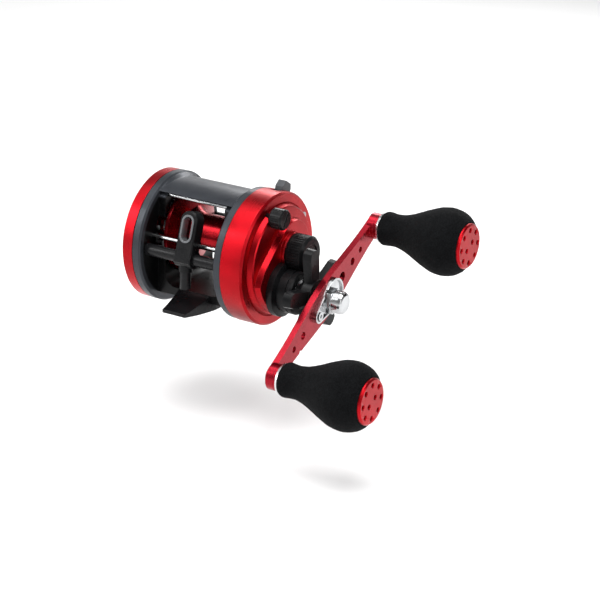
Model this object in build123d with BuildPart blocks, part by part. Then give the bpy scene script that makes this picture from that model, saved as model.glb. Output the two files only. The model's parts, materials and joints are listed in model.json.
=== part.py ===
from build123d import *
import os
from math import acos, atan2, cos, degrees, hypot, pi, radians, sin, sqrt, tan

os.makedirs("parts", exist_ok=True)

# Baitcasting reel, millimetres. +Z is up, +X runs along the spool axis to the handle side,
# -Y is the front (line guide) side. The origin is the middle of the foot's underside.

# ---- overall sizes
plate_axis_z = 28.5
plate_radius = 32.0
frame_half_width = 25.1
ring_inner_face = 20.6
web_outer_face = 22.2
wall_inner_face = 16.8
wall_radius = 29.4
pocket_radius = 29.9
window_front_y = -16.0
left_cover_depth = 6.9
right_cover_radius = 32.3
right_rim_face = 36.8
plateau_face = 39.6
hub_face = 42.2
seat_face = 44.2

# ---- fits
running_gap = 0.05
loose_gap = 0.35
wide_gap = 0.5

# ---- spool
spool_y = 2.6
spool_z = 32.9
spool_radius = 20.6
spool_half_width = 16.2
flange_rim = 1.5
arbor_radius = 9.0
flange_seat_radius = 8.4
spool_shaft_radius = 1.5

# ---- gears: 6.3 turns of the spool for one turn of the handle
gear_module = 0.5
drive_teeth = 63
pinion_teeth = 10
wind_module = 0.6
wind_shaft_teeth = 20
wind_idler_teeth = 24
wind_worm_teeth = 12
pressure_angle = 25.0
tooth_play = 0.05
drive_direction = 243.2
gear_centres = gear_module * (drive_teeth + pinion_teeth) / 2 + 0.02
drive_y = spool_y + gear_centres * cos(radians(drive_direction))
drive_z = spool_z + gear_centres * sin(radians(drive_direction))

# ---- line guide
worm_y = -25.2
worm_z = 28.8
tube_radius = 2.9
guide_rod_y = -20.8
guide_rod_z = 34.5
guide_rod_radius = 0.9
guide_rest_x = 2.0
guide_half_width = 4.6
guide_lean = 17.0
eyelet_width = 4.8
eyelet_height = 11.6
eyelet_rim = 0.9
eyelet_depth = 4.4

# ---- foot
foot_length = 66.0
foot_tip_width = 12.8
foot_mid_width = 19.0
foot_pad_length = 18.0
foot_tip_rise = 2.0
foot_tip_thickness = 1.7
foot_height = 4.6
foot_ramp_height = 8.3

# ---- drive side
boss_radius = 10.6
boss_base_radius = 13.2
cap_radius = 9.2
cap_end = 53.6
drive_shaft_radius = 2.5
sleeve_radius = 4.2
star_mid_x = 59.9
star_radius = 24.0
arm_face = 64.8
arm_thickness = 3.1
end_boss_radius = 6.3
end_boss_top = 4.8
retainer_screw_distance = 10.6
handle_half_y = 43.7
handle_half_z = 24.2
handle_half_length = hypot(handle_half_y, handle_half_z)
handle_angle = degrees(atan2(handle_half_z, handle_half_y))

# ---- knobs
knob_start = 72.6
knob_bulge_x = 105.3
knob_bulge_radius = 16.4
knob_end = 118.3
spindle_radius = 2.0
core_radius = 4.4
cap_outer = 10.9
core_end = knob_end - 2.7



def frame_plane(x):
    """Sketch plane across the reel at x; its own x is the reel's Y, its own y is Z."""
    return Plane.YZ.offset(x)


def involute(angle):
    return tan(angle) - angle


def gear_points(teeth, module, first_tooth):
    """Corner points of a spur gear with involute flanks; first_tooth is a tooth's direction."""
    pitch = module * teeth / 2
    base = pitch * cos(radians(pressure_angle))
    tip = pitch + 0.8 * module
    root = pitch - 1.05 * module
    half = pi / (2 * teeth) - tooth_play / pitch + involute(radians(pressure_angle))
    low = max(base, root)
    flank = []
    for step in range(5):
        radius = low + (tip - low) * step / 4
        flank.append((radius, half - involute(acos(min(1.0, base / radius)))))
    if root < base:
        flank.insert(0, (root, flank[0][1]))
    points = []
    for tooth in range(teeth):
        middle = radians(first_tooth) + 2 * pi * tooth / teeth
        for radius, offset in flank:
            points.append((radius * cos(middle - offset), radius * sin(middle - offset)))
        for radius, offset in reversed(flank):
            points.append((radius * cos(middle + offset), radius * sin(middle + offset)))
    return points


# Level-wind idler: its centre stands on the circles of both gears it meets.
near_distance = wind_module * (wind_shaft_teeth + wind_idler_teeth) / 2 + 0.02
far_distance = wind_module * (wind_idler_teeth + wind_worm_teeth) / 2 + 0.02
span_distance = hypot(worm_y - drive_y, worm_z - drive_z)
span_angle = atan2(worm_z - drive_z, worm_y - drive_y)
along = (near_distance**2 - far_distance**2 + span_distance**2) / (2 * span_distance)
aside = sqrt(near_distance**2 - along**2)
idler_angle = span_angle - atan2(aside, along)
idler_y = drive_y + near_distance * cos(idler_angle)
idler_z = drive_z + near_distance * sin(idler_angle)
idler_to_worm = atan2(worm_z - idler_z, worm_y - idler_y)

# Directions of one tooth of each gear, so that every tooth meets a gap.
drive_tooth = drive_direction + 180 + 180 / drive_teeth
pinion_tooth = drive_direction
shaft_gear_tooth = degrees(idler_angle) + 180 / wind_shaft_teeth
idler_tooth = degrees(idler_angle) + 180
idler_shift = degrees(idler_to_worm) - idler_tooth
worm_tooth = degrees(idler_to_worm) + 180 + idler_shift * wind_idler_teeth / wind_worm_teeth
worm_tooth = worm_tooth + 180 / wind_worm_teeth

spool_at = (spool_y, spool_z)
drive_at = (drive_y, drive_z)
worm_at = (worm_y, worm_z)
plate_at = (0, plate_axis_z)
guide_rod_at = (guide_rod_y, guide_rod_z)
top_rod_at = (-12.5, plate_axis_z + 24.9)
top_rod_radius = 1.0
side_knob_at = (-10.2, plate_axis_z + 24.0)
cover_screw_radius = 27.2
right_screw_angles = (35, 298, 342)
left_screw_angles = (20, 150, 270)


def around(angle, radius, centre=plate_at):
    """Point at an angle and radius from the side plates' axis."""
    return (centre[0] + radius * cos(radians(angle)), centre[1] + radius * sin(radians(angle)))


def rod(x_start, x_end, at, radius):
    """Add a cylinder along X to the part being built."""
    with BuildSketch(frame_plane(x_start)) as disc:
        with Locations(at):
            Circle(radius)
    extrude(disc.sketch, amount=x_end - x_start)


def bore(x_start, x_end, at, radius):
    """Cut a round hole along X from the part being built."""
    with BuildSketch(frame_plane(x_start)) as disc:
        with Locations(at):
            Circle(radius)
    extrude(disc.sketch, amount=x_end - x_start, mode=Mode.SUBTRACT)


def pipe(x_start, x_end, at, outer, inner):
    """Add a tube along X to the part being built."""
    with BuildSketch(frame_plane(x_start)) as ring:
        with Locations(at):
            Circle(outer)
            Circle(inner, mode=Mode.SUBTRACT)
    extrude(ring.sketch, amount=x_end - x_start)


def turned(at, profile):
    """Add a body of revolution; profile is a list of (x, radius) corners round the axis at."""
    plane = Plane(origin=(0, at[0], at[1]), x_dir=(1, 0, 0), z_dir=(0, -1, 0))
    with BuildSketch(plane) as half_section:
        with BuildLine():
            Polyline(profile, close=True)
        make_face()
    revolve(half_section.sketch, axis=Axis((0, at[0], at[1]), (1, 0, 0)))


def gear(x_start, x_end, at, teeth, module, first_tooth, hole):
    """Add a spur gear with a round hole."""
    with BuildSketch(frame_plane(x_start)) as wheel:
        with Locations(at):
            Polygon(gear_points(teeth, module, first_tooth), align=None)
            Circle(hole, mode=Mode.SUBTRACT)
    extrude(wheel.sketch, amount=x_end - x_start)


def ball_bearing(x_start, x_end, at, outer, inner):
    """Add the rings and shield of a small ball bearing."""
    width = x_end - x_start
    turned(at, [
        (x_start, inner), (x_end, inner), (x_end, inner + 0.6), (x_end - 0.2, inner + 0.6),
        (x_end - 0.2, outer - 0.6), (x_end, outer - 0.6), (x_end, outer), (x_start, outer),
        (x_start, outer - 0.6), (x_start + 0.1 * width, outer - 0.6),
        (x_start + 0.1 * width, inner + 0.6), (x_start, inner + 0.6),
    ])


# ================= frame =================

def frame():
    bar_top = plate_axis_z + 30.0
    with BuildPart() as body:
        # cradle between the side plates, open to the front, the back and the top
        with BuildSketch(frame_plane(-ring_inner_face)):
            with Locations(plate_at):
                Circle(wall_radius)
            with Locations((window_front_y - 20, plate_axis_z)):
                Rectangle(40, 80, mode=Mode.SUBTRACT)
            with Locations((0, foot_height - 10)):
                Rectangle(80, 20, mode=Mode.SUBTRACT)
        extrude(amount=2 * ring_inner_face)
        with BuildSketch(Plane.XZ.offset(-40)):
            with Locations((0, plate_axis_z + 10)):
                RectangleRounded(2 * wall_inner_face, 60, 6.5)
        extrude(amount=80, mode=Mode.SUBTRACT)
        # side plates
        for side in (-1, 1):
            turned(plate_at, [
                (side * ring_inner_face, 0), (side * ring_inner_face, plate_radius - 0.9),
                (side * (ring_inner_face + 0.9), plate_radius),
                (side * (frame_half_width - 0.5), plate_radius),
                (side * frame_half_width, plate_radius - 0.5), (side * frame_half_width, 0),
            ])
        with BuildSketch(frame_plane(-ring_inner_face)):
            with BuildLine():
                ThreePointArc((-15.9, bar_top - 3.0), (-1.5, bar_top), (19.5, bar_top - 6.9))
                Line((19.5, bar_top - 6.9), (17.6, bar_top - 8.4))
                ThreePointArc((17.6, bar_top - 8.4), (0.0, bar_top - 2.1), (-13.0, bar_top - 4.0))
                Line((-13.0, bar_top - 4.0), (-15.9, bar_top - 3.0))
            make_face()
        extrude(amount=2 * ring_inner_face)
        # the bar flares up to the side plates
        for side in (-1, 1):
            flare_plane = Plane(
                origin=(0, 0, plate_axis_z),
                x_dir=(1, 0, 0),
                z_dir=(0, -sin(radians(62)), cos(radians(62))),
            )
            with BuildSketch(flare_plane):
                with BuildLine():
                    Polyline(
                        (side * 16.5, 28.4), (side * ring_inner_face, 31.3),
                        (side * (ring_inner_face + 0.3), 28.0), (side * 16.5, 27.6), close=True,
                    )
                make_face()
            revolve(axis=Axis((0, 0, plate_axis_z), (1, 0, 0)), revolution_arc=54)
        # rear pillar, low enough to leave the thumb a way to the spool
        with BuildSketch(frame_plane(-ring_inner_face)):
            with Locations(around(2, wall_radius - 1.6)):
                RectangleRounded(3.2, 9, 1.2)
        extrude(amount=2 * ring_inner_face)
        # pockets on the outer sides
        for side in (-1, 1):
            inner = min(side * web_outer_face, side * frame_half_width)
            outer = max(side * web_outer_face, side * frame_half_width)
            bore(inner, outer, plate_at, pocket_radius)
        for angle in right_screw_angles:
            rod(web_outer_face, frame_half_width, around(angle, cover_screw_radius), 2.6)
            bore(ring_inner_face + 0.6, frame_half_width, around(angle, cover_screw_radius), 1.0)
        for angle in left_screw_angles:
            rod(-frame_half_width, -web_outer_face, around(angle, cover_screw_radius), 2.6)
            bore(-frame_half_width, -ring_inner_face - 0.6, around(angle, cover_screw_radius), 1.0)
        # the spool comes out to the left
        bore(-frame_half_width, -wall_inner_face, spool_at, spool_radius + wide_gap)
        # bearing seats in the right wall
        bore(wall_inner_face, web_outer_face, spool_at, 3.2)
        bore(19.2, web_outer_face, spool_at, 5.0)
        bore(18.8, web_outer_face, drive_at, 4.5)
        # line guide sockets
        for side in (-1, 1):
            inner = min(side * ring_inner_face, side * (ring_inner_face + 0.9))
            outer = max(side * ring_inner_face, side * (ring_inner_face + 0.9))
            bore(inner, outer, worm_at, tube_radius)
            bore(inner, outer, guide_rod_at, guide_rod_radius)
        bore(-web_outer_face, -ring_inner_face, worm_at, 2.2)
        bore(ring_inner_face, web_outer_face, worm_at, 2.2)
        bore(-wall_inner_face - 1.0, wall_inner_face + 1.0, top_rod_at, top_rod_radius)
        bore(21.0, web_outer_face, (idler_y, idler_z), 1.2)
        # countersinks for the foot screws
        with BuildSketch(Plane.XY.offset(foot_height)):
            with GridLocations(9.0, 10.0, 2, 2):
                Circle(1.25)
        extrude(amount=2.6, mode=Mode.SUBTRACT)
    body.part.label = "frame"
    export_step(body.part, "parts/frame.step")
    return body.part


def foot():
    half = foot_length / 2
    with BuildPart() as plate:
        with BuildSketch(Plane.XY):
            with BuildLine():
                Polyline(
                    (foot_tip_width / 2, -half), (foot_mid_width / 2, -11), (foot_mid_width / 2, 11),
                    (foot_tip_width / 2, half), (-foot_tip_width / 2, half), (-foot_mid_width / 2, 11),
                    (-foot_mid_width / 2, -11), (-foot_tip_width / 2, -half), close=True,
                )
            make_face()
        extrude(amount=foot_ramp_height + 0.6)
        with BuildSketch(frame_plane(-foot_mid_width)):
            with BuildLine():
                Spline(
                    (-foot_pad_length / 2, 0), (-half, foot_tip_rise),
                    tangents=((-1, 0), (-1, 0.16)),
                )
                Line((-half, foot_tip_rise), (-half, -5))
                Line((-half, -5), (half, -5))
                Line((half, -5), (half, foot_tip_rise))
                Spline(
                    (half, foot_tip_rise), (foot_pad_length / 2, 0),
                    tangents=((-1, -0.16), (-1, 0)),
                )
                Line((foot_pad_length / 2, 0), (-foot_pad_length / 2, 0))
            make_face()
        extrude(amount=2 * foot_mid_width, mode=Mode.SUBTRACT)
        tip_top = foot_tip_rise + foot_tip_thickness
        with BuildSketch(frame_plane(-foot_mid_width)):
            with BuildLine():
                Line((-half, 12), (half, 12))
                Line((half, 12), (half, tip_top))
                Spline((half, tip_top), (17, foot_height), tangents=((-1, 0.02), (-1, 0.25)))
                Line((17, foot_height), (window_front_y, foot_height))
                Line((window_front_y, foot_height), (window_front_y, foot_ramp_height))
                Spline(
                    (window_front_y, foot_ramp_height), (-24.5, 5.3), (-half, tip_top),
                    tangents=((-1, -0.75), (-1, -0.05)),
                )
                Line((-half, tip_top), (-half, 12))
            make_face()
        extrude(amount=2 * foot_mid_width, mode=Mode.SUBTRACT)
        with BuildSketch(Plane.XY):
            with GridLocations(9.0, 10.0, 2, 2):
                Circle(1.25)
        extrude(amount=foot_height, mode=Mode.SUBTRACT)
        with BuildSketch(Plane.XY):
            with GridLocations(9.0, 10.0, 2, 2):
                Circle(2.1)
        extrude(amount=1.6, mode=Mode.SUBTRACT)
    plate.part.label = "foot"
    export_step(plate.part, "parts/foot.step")
    return plate.part


def foot_screws():
    with BuildPart() as screws:
        with BuildSketch(Plane.XY.offset(0.3)):
            with GridLocations(9.0, 10.0, 2, 2):
                Circle(2.0)
        extrude(amount=1.3)
        with BuildSketch(Plane.XY.offset(1.6)):
            with GridLocations(9.0, 10.0, 2, 2):
                Circle(1.2)
        extrude(amount=foot_height + 0.8)
        with BuildSketch(Plane.XY.offset(0.3)):
            with GridLocations(9.0, 10.0, 2, 2):
                RegularPolygon(0.9, 6)
        extrude(amount=0.8, mode=Mode.SUBTRACT)
    screws.part.label = "foot_screws"
    export_step(screws.part, "parts/foot_screws.step")


def top_rod():
    with BuildPart() as bar:
        rod(-wall_inner_face - 0.8, wall_inner_face + 0.8, top_rod_at, top_rod_radius)
    bar.part.label = "top_rod"
    export_step(bar.part, "parts/top_rod.step")


# ================= left side =================

def left_cover():
    start = -frame_half_width
    end = start - left_cover_depth
    outer = plate_radius - 0.1
    with BuildPart() as shell:
        turned(plate_at, [
            (start + 1.6, pocket_radius - 0.4), (start, pocket_radius - 0.4), (start, outer),
            (start - 5.2, outer), (start - 6.0, outer - 0.9), (end + 0.7, 20.0), (end, 19.0),
            (end, 0), (end + 1.8, 0), (end + 1.8, 18.2), (start - 4.2, outer - 3.6),
            (start + 1.6, outer - 3.6),
        ])
        # screw posts
        for angle in left_screw_angles:
            at = around(angle, cover_screw_radius)
            rod(start - 4.6, start, at, 2.6)
            bore(start - 4.6, start + 1.6, at, 1.0)
            bore(start + 0.01, start + 1.6, at, 3.0)
            bore(start - 8, start - 4.0, at, 1.95)
        # spool bearing housing and brake dial hole
        rod(end + 1.8, end + 5.6, spool_at, 6.4)
        bore(end + 2.4, end + 5.6, spool_at, 4.0)
        bore(end, end + 1.0, spool_at, 9.0)
        bore(end, end + 2.4, spool_at, 2.6)
    shell.part.label = "left_cover"
    export_step(shell.part, "parts/left_cover.step")


def left_cover_screws():
    start = -frame_half_width
    with BuildPart() as screws:
        for angle in left_screw_angles:
            at = around(angle, cover_screw_radius)
            rod(start - 5.3, start - 4.0, at, 1.9)
            rod(start - 4.0, start + 3.4, at, 1.0)
            bore(start - 5.3, start - 4.6, at, 0.8)
    screws.part.label = "left_cover_screws"
    export_step(screws.part, "parts/left_cover_screws.step")


def brake_ring():
    end = -frame_half_width - left_cover_depth
    with BuildPart() as ring:
        pipe(end + 1.8, end + 3.2, spool_at, 12.0, 8.0)
        for index in range(6):
            rod(end + 3.2, end + 5.0, around(60 * index, 10.0, spool_at), 1.6)
    ring.part.label = "brake_magnet_ring"
    export_step(ring.part, "parts/brake_magnet_ring.step")


def brake_dial():
    end = -frame_half_width - left_cover_depth
    with BuildPart() as dial:
        rod(end - 0.9, end + 0.6, spool_at, 8.6)
        rod(end + 0.6, end + 1.5, spool_at, 2.5)
        with BuildSketch(frame_plane(end - 0.9)):
            with Locations(spool_at):
                with PolarLocations(9.2, 12):
                    Circle(1.1)
        extrude(amount=1.5, mode=Mode.SUBTRACT)
        with BuildSketch(frame_plane(end - 0.9)):
            with Locations(spool_at):
                SlotOverall(11, 2.2)
        extrude(amount=0.5, mode=Mode.SUBTRACT)
    dial.part.label = "brake_dial"
    export_step(dial.part, "parts/brake_dial.step")


def left_bearing():
    end = -frame_half_width - left_cover_depth
    with BuildPart() as race:
        ball_bearing(end + 2.6, end + 5.2, spool_at, 4.0, spool_shaft_radius + running_gap)
    race.part.label = "left_spool_bearing"
    export_step(race.part, "parts/left_spool_bearing.step")


# ================= spool =================

def spool():
    """Drum the line is wound on, with a hub for the shaft and a seat for each flange."""
    bore_radius = arbor_radius - 1.6
    with BuildPart() as drum:
        turned(spool_at, [
            (-11.0, flange_seat_radius), (-8.4, flange_seat_radius), (-8.4, arbor_radius + 0.5),
            (-7.0, arbor_radius), (7.0, arbor_radius), (8.4, arbor_radius + 0.5),
            (8.4, flange_seat_radius), (11.0, flange_seat_radius), (11.0, bore_radius),
            (4.0, bore_radius), (4.0, spool_shaft_radius), (-4.0, spool_shaft_radius),
            (-4.0, bore_radius), (-11.0, bore_radius),
        ])
    drum.part.label = "spool"
    export_step(drum.part, "parts/spool.step")


def spool_flanges():
    """Dished flanges pressed on the drum's seats."""
    rim = spool_half_width
    inner = rim - flange_rim
    with BuildPart() as flanges:
        for side in (-1, 1):
            turned(spool_at, [
                (side * rim, spool_radius), (side * inner, spool_radius),
                (side * (inner - 0.6), spool_radius - 1.6), (side * 11.6, arbor_radius + 2.6),
                (side * 9.6, arbor_radius + 0.9), (side * 8.4, arbor_radius + 0.5),
                (side * 8.4, flange_seat_radius), (side * 11.2, flange_seat_radius),
                (side * 12.6, arbor_radius + 1.2), (side * rim, spool_radius - 1.2),
            ])
    flanges.part.label = "spool_flanges"
    export_step(flanges.part, "parts/spool_flanges.step")


def spool_shaft():
    left_end = -frame_half_width - left_cover_depth + 2.6
    with BuildPart() as shaft:
        rod(left_end, 48.0, spool_at, spool_shaft_radius)
    shaft.part.label = "spool_shaft"
    export_step(shaft.part, "parts/spool_shaft.step")


def brake_rotor():
    with BuildPart() as cup:
        turned(spool_at, [
            (-12.0, spool_shaft_radius), (-12.0, 4.0), (-24.0, 5.2), (-26.0, 5.2), (-26.0, 6.8),
            (-24.0, 6.8), (-10.0, 5.4), (-10.0, spool_shaft_radius),
        ])
    cup.part.label = "brake_rotor"
    export_step(cup.part, "parts/brake_rotor.step")


def pinion():
    with BuildPart() as steel:
        gear(25.6, 32.0, spool_at, pinion_teeth, gear_module, pinion_tooth, spool_shaft_radius)
        pipe(19.4, 25.6, spool_at, 2.45, spool_shaft_radius)
        pipe(32.0, 38.0, spool_at, 2.45, spool_shaft_radius)
    steel.part.label = "pinion_gear"
    export_step(steel.part, "parts/pinion_gear.step")


def right_bearings():
    with BuildPart() as inner_race:
        ball_bearing(19.6, 22.2, spool_at, 5.0, 2.45 + running_gap)
    inner_race.part.label = "pinion_bearing_inner"
    export_step(inner_race.part, "parts/pinion_bearing_inner.step")
    with BuildPart() as outer_race:
        ball_bearing(34.0, 36.6, spool_at, 5.0, 2.45 + running_gap)
    outer_race.part.label = "pinion_bearing_outer"
    export_step(outer_race.part, "parts/pinion_bearing_outer.step")


# ================= right side =================

def right_cover():
    start = frame_half_width
    ceiling = 34.6
    with BuildPart() as shell:
        turned(plate_at, [
            (start, 0), (start, right_cover_radius), (right_rim_face - 1.0, right_cover_radius),
            (right_rim_face, right_cover_radius - 1.0), (right_rim_face, 27.6),
            (right_rim_face - 0.6, 27.2), (right_rim_face + 0.4, 26.9), (plateau_face - 0.5, 26.2),
            (plateau_face, 25.6), (plateau_face, 0),
        ])
        # raised hub round the drive shaft, running up to the spool axis
        with BuildSketch(frame_plane(plateau_face)):
            with BuildSketch(mode=Mode.PRIVATE) as outline:
                with Locations(drive_at):
                    Circle(19.6)
                with Locations((spool_y + 3, spool_z + 1)):
                    Circle(14.0)
                make_hull()
            with Locations(plate_at):
                Circle(25.4)
            add(outline.sketch, mode=Mode.INTERSECT)
        extrude(amount=hub_face - plateau_face, taper=20)
        rod(hub_face, seat_face - 0.5, spool_at, cap_radius + 0.35)
        rod(seat_face - 0.5, seat_face - 0.1, spool_at, cap_radius)
        # gear chamber
        bore(start, ceiling, plate_at, pocket_radius)
        for angle in right_screw_angles:
            at = around(angle, cover_screw_radius)
            rod(start, ceiling, at, 2.6)
            bore(start, right_rim_face, at, 1.0)
            bore(right_rim_face - 1.2, plateau_face, at, 1.95)
        # pinion bearing seat and spool shaft passage, open into the cap
        bore(ceiling - 1, 36.6, spool_at, 5.0)
        bore(36.6, seat_face, spool_at, 4.0)
        # threaded neck for the cast control cap
        pipe(seat_face - 1.5, 48.4, spool_at, 4.6 - running_gap, 3.0)
        # one-way bearing seat
        bore(ceiling, hub_face, drive_at, 8.2)
        # side knob stem hole
        bore(ceiling, plateau_face, side_knob_at, 1.6 + running_gap)
        # thumb lever slot in the rim
        with BuildSketch(frame_plane(28.3)):
            with BuildLine():
                start_out = around(50, 36)
                end_out = around(82, 36)
                Polyline(plate_at, start_out, around(66, 40), end_out, close=True)
            make_face()
            with Locations(plate_at):
                Circle(25.0, mode=Mode.SUBTRACT)
        extrude(amount=5.2, mode=Mode.SUBTRACT)
    shell.part.label = "right_cover"
    export_step(shell.part, "parts/right_cover.step")


def right_cover_screws():
    with BuildPart() as screws:
        for angle in right_screw_angles:
            at = around(angle, cover_screw_radius)
            rod(web_outer_face - 0.8, right_rim_face - 1.2, at, 1.0)
            rod(right_rim_face - 1.2, right_rim_face + 0.3, at, 1.9)
            bore(right_rim_face - 0.6, right_rim_face + 0.3, at, 0.8)
    screws.part.label = "right_cover_screws"
    export_step(screws.part, "parts/right_cover_screws.step")


def thumb_lever():
    reach = pocket_radius - 0.5
    with BuildPart() as lever:
        with BuildSketch(frame_plane(28.8)):
            with BuildLine():
                Polyline(
                    around(61.5, reach - 1.0), around(61.5, 34.0), around(63.5, 36.2),
                    around(71.0, 37.0), around(74.5, 34.0), around(74.5, reach - 1.0), close=True,
                )
            make_face()
        extrude(amount=4.2)
        with BuildSketch(frame_plane(27.4)):
            with Locations(plate_at):
                Circle(reach)
                Circle(reach - 1.2, mode=Mode.SUBTRACT)
            with BuildSketch(mode=Mode.PRIVATE) as wedge:
                with BuildLine():
                    Polyline(plate_at, around(56, 60), around(80, 60), close=True)
                make_face()
            add(wedge.sketch, mode=Mode.INTERSECT)
        extrude(amount=7.0)
    lever.part.label = "thumb_lever"
    export_step(lever.part, "parts/thumb_lever.step")


def side_knob():
    with BuildPart() as knob:
        turned(side_knob_at, [
            (35.2, 0), (35.2, 1.6), (plateau_face + 0.3, 1.6), (plateau_face + 0.3, 4.5),
            (plateau_face + 1.2, 5.0), (46.2, 5.0), (46.9, 4.4), (46.9, 0),
        ])
        with BuildSketch(frame_plane(46.3)):
            with Locations(side_knob_at):
                SlotOverall(7.2, 1.1, rotation=60)
        extrude(amount=0.6, mode=Mode.SUBTRACT)
        with BuildSketch(frame_plane(plateau_face + 2.0)):
            with Locations(side_knob_at):
                with PolarLocations(5.2, 14):
                    Circle(0.45)
        extrude(amount=4.0, mode=Mode.SUBTRACT)
    knob.part.label = "side_knob"
    export_step(knob.part, "parts/side_knob.step")


def cast_control_cap():
    with BuildPart() as cap:
        turned(spool_at, [
            (seat_face, 4.6), (seat_face, cap_radius - 0.2), (seat_face + 0.9, cap_radius),
            (cap_end - 1.2, cap_radius), (cap_end, cap_radius - 1.2), (cap_end, 0),
            (cap_end - 2.4, 0), (cap_end - 2.4, 4.6),
        ])
        with BuildSketch(frame_plane(seat_face + 1.6)):
            with Locations(spool_at):
                with PolarLocations(cap_radius, 44):
                    Rectangle(0.5, 0.55)
        extrude(amount=6.2, mode=Mode.SUBTRACT)
        bore(cap_end - 0.5, cap_end, spool_at, 5.4)
    cap.part.label = "cast_control_cap"
    export_step(cap.part, "parts/cast_control_cap.step")


def cast_control_washers():
    with BuildPart() as washers:
        rod(cap_end - 3.2, cap_end - 2.4, spool_at, 3.6)
        rod(cap_end - 4.0, cap_end - 3.2, spool_at, 2.2)
    washers.part.label = "cast_control_washers"
    export_step(washers.part, "parts/cast_control_washers.step")


def boss_sleeve():
    with BuildPart() as boss:
        turned(drive_at, [
            (hub_face, 8.2), (hub_face, boss_base_radius), (45.3, boss_base_radius),
            (45.9, boss_radius + 0.4), (46.2, boss_radius - 0.5), (46.7, boss_radius - 0.5),
            (46.7, boss_radius), (50.6, boss_radius), (50.6, boss_radius - 0.5),
            (51.2, boss_radius - 0.5), (51.2, boss_radius), (53.2, boss_radius),
            (53.8, boss_radius - 0.6), (53.8, 6.9), (52.4, 6.9), (52.4, 8.2),
        ])
        # clearance beside the cast control cap
        bore(hub_face, 54.5, spool_at, cap_radius + loose_gap)
    boss.part.label = "drive_boss"
    export_step(boss.part, "parts/drive_boss.step")


def one_way_bearing():
    with BuildPart() as clutch:
        pipe(38.0, 52.4, drive_at, 8.2, 6.9)
        pipe(38.0, 39.0, drive_at, 6.9, sleeve_radius + running_gap)
        pipe(51.4, 52.4, drive_at, 6.9, sleeve_radius + running_gap)
        for index in range(8):
            rod(39.0, 51.4, around(45 * index, 5.9, drive_at), 0.95)
    clutch.part.label = "one_way_bearing"
    export_step(clutch.part, "parts/one_way_bearing.step")


def drive_bearing():
    with BuildPart() as race:
        ball_bearing(19.0, 22.0, drive_at, 4.5, drive_shaft_radius + running_gap)
    race.part.label = "drive_shaft_bearing"
    export_step(race.part, "parts/drive_shaft_bearing.step")


# ================= handle and drag =================

def drive_shaft():
    with BuildPart() as shaft:
        rod(19.2, arm_face + 7.2, drive_at, drive_shaft_radius)
        rod(22.3, 22.6, drive_at, 4.0)
    shaft.part.label = "drive_shaft"
    export_step(shaft.part, "parts/drive_shaft.step")


def drive_gear():
    with BuildPart() as wheel:
        gear(26.6, 29.6, drive_at, drive_teeth, gear_module, drive_tooth, drive_shaft_radius)
        bore(27.6, 29.6, drive_at, 13.4)
        pipe(27.6, 29.6, drive_at, 5.0, drive_shaft_radius)
        with BuildSketch(frame_plane(26.6)):
            with Locations(drive_at):
                with PolarLocations(9.2, 6):
                    Circle(2.0)
        extrude(amount=1.0, mode=Mode.SUBTRACT)
    wheel.part.label = "drive_gear"
    export_step(wheel.part, "parts/drive_gear.step")


def drag_washers():
    with BuildPart() as washers:
        pipe(27.6, 28.4, drive_at, 13.2, 5.2)
        pipe(28.8, 29.6, drive_at, 13.2, 5.2)
    washers.part.label = "drag_washers"
    export_step(washers.part, "parts/drag_washers.step")


def drag_plates():
    with BuildPart() as plates:
        pipe(28.4, 28.8, drive_at, 13.0, 5.2)
        pipe(29.6, 30.8, drive_at, 12.4, drive_shaft_radius)
    plates.part.label = "drag_plates"
    export_step(plates.part, "parts/drag_plates.step")


def ratchet():
    with BuildPart() as wheel:
        with BuildSketch(frame_plane(25.5)):
            with Locations(drive_at):
                Circle(9.6)
                Circle(drive_shaft_radius, mode=Mode.SUBTRACT)
                with PolarLocations(9.6, 14):
                    Polygon((-1.2, -1.4), (1.0, -1.4), (1.0, 0.6), align=None, mode=Mode.SUBTRACT)
        extrude(amount=0.9)
    wheel.part.label = "ratchet"
    export_step(wheel.part, "parts/ratchet.step")


def level_wind_gears():
    with BuildPart() as shaft_gear:
        gear(23.0, 25.2, drive_at, wind_shaft_teeth, wind_module, shaft_gear_tooth, drive_shaft_radius)
    shaft_gear.part.label = "level_wind_shaft_gear"
    export_step(shaft_gear.part, "parts/level_wind_shaft_gear.step")
    with BuildPart() as idler:
        gear(23.0, 25.2, (idler_y, idler_z), wind_idler_teeth, wind_module, idler_tooth,
             1.2 + running_gap)
    idler.part.label = "idler_gear"
    export_step(idler.part, "parts/idler_gear.step")
    with BuildPart() as worm_gear:
        gear(23.0, 25.2, worm_at, wind_worm_teeth, wind_module, worm_tooth, 1.6)
    worm_gear.part.label = "worm_gear"
    export_step(worm_gear.part, "parts/worm_gear.step")
    with BuildPart() as pin:
        rod(21.0, 25.8, (idler_y, idler_z), 1.2)
        rod(25.8, 26.2, (idler_y, idler_z), 1.8)
    pin.part.label = "idler_pin"
    export_step(pin.part, "parts/idler_pin.step")


def drag_sleeve():
    with BuildPart() as sleeve:
        pipe(32.2, 55.0, drive_at, sleeve_radius, drive_shaft_radius)
        pipe(30.8, 32.2, drive_at, 6.0, drive_shaft_radius)
    sleeve.part.label = "drag_sleeve"
    export_step(sleeve.part, "parts/drag_sleeve.step")


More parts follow.
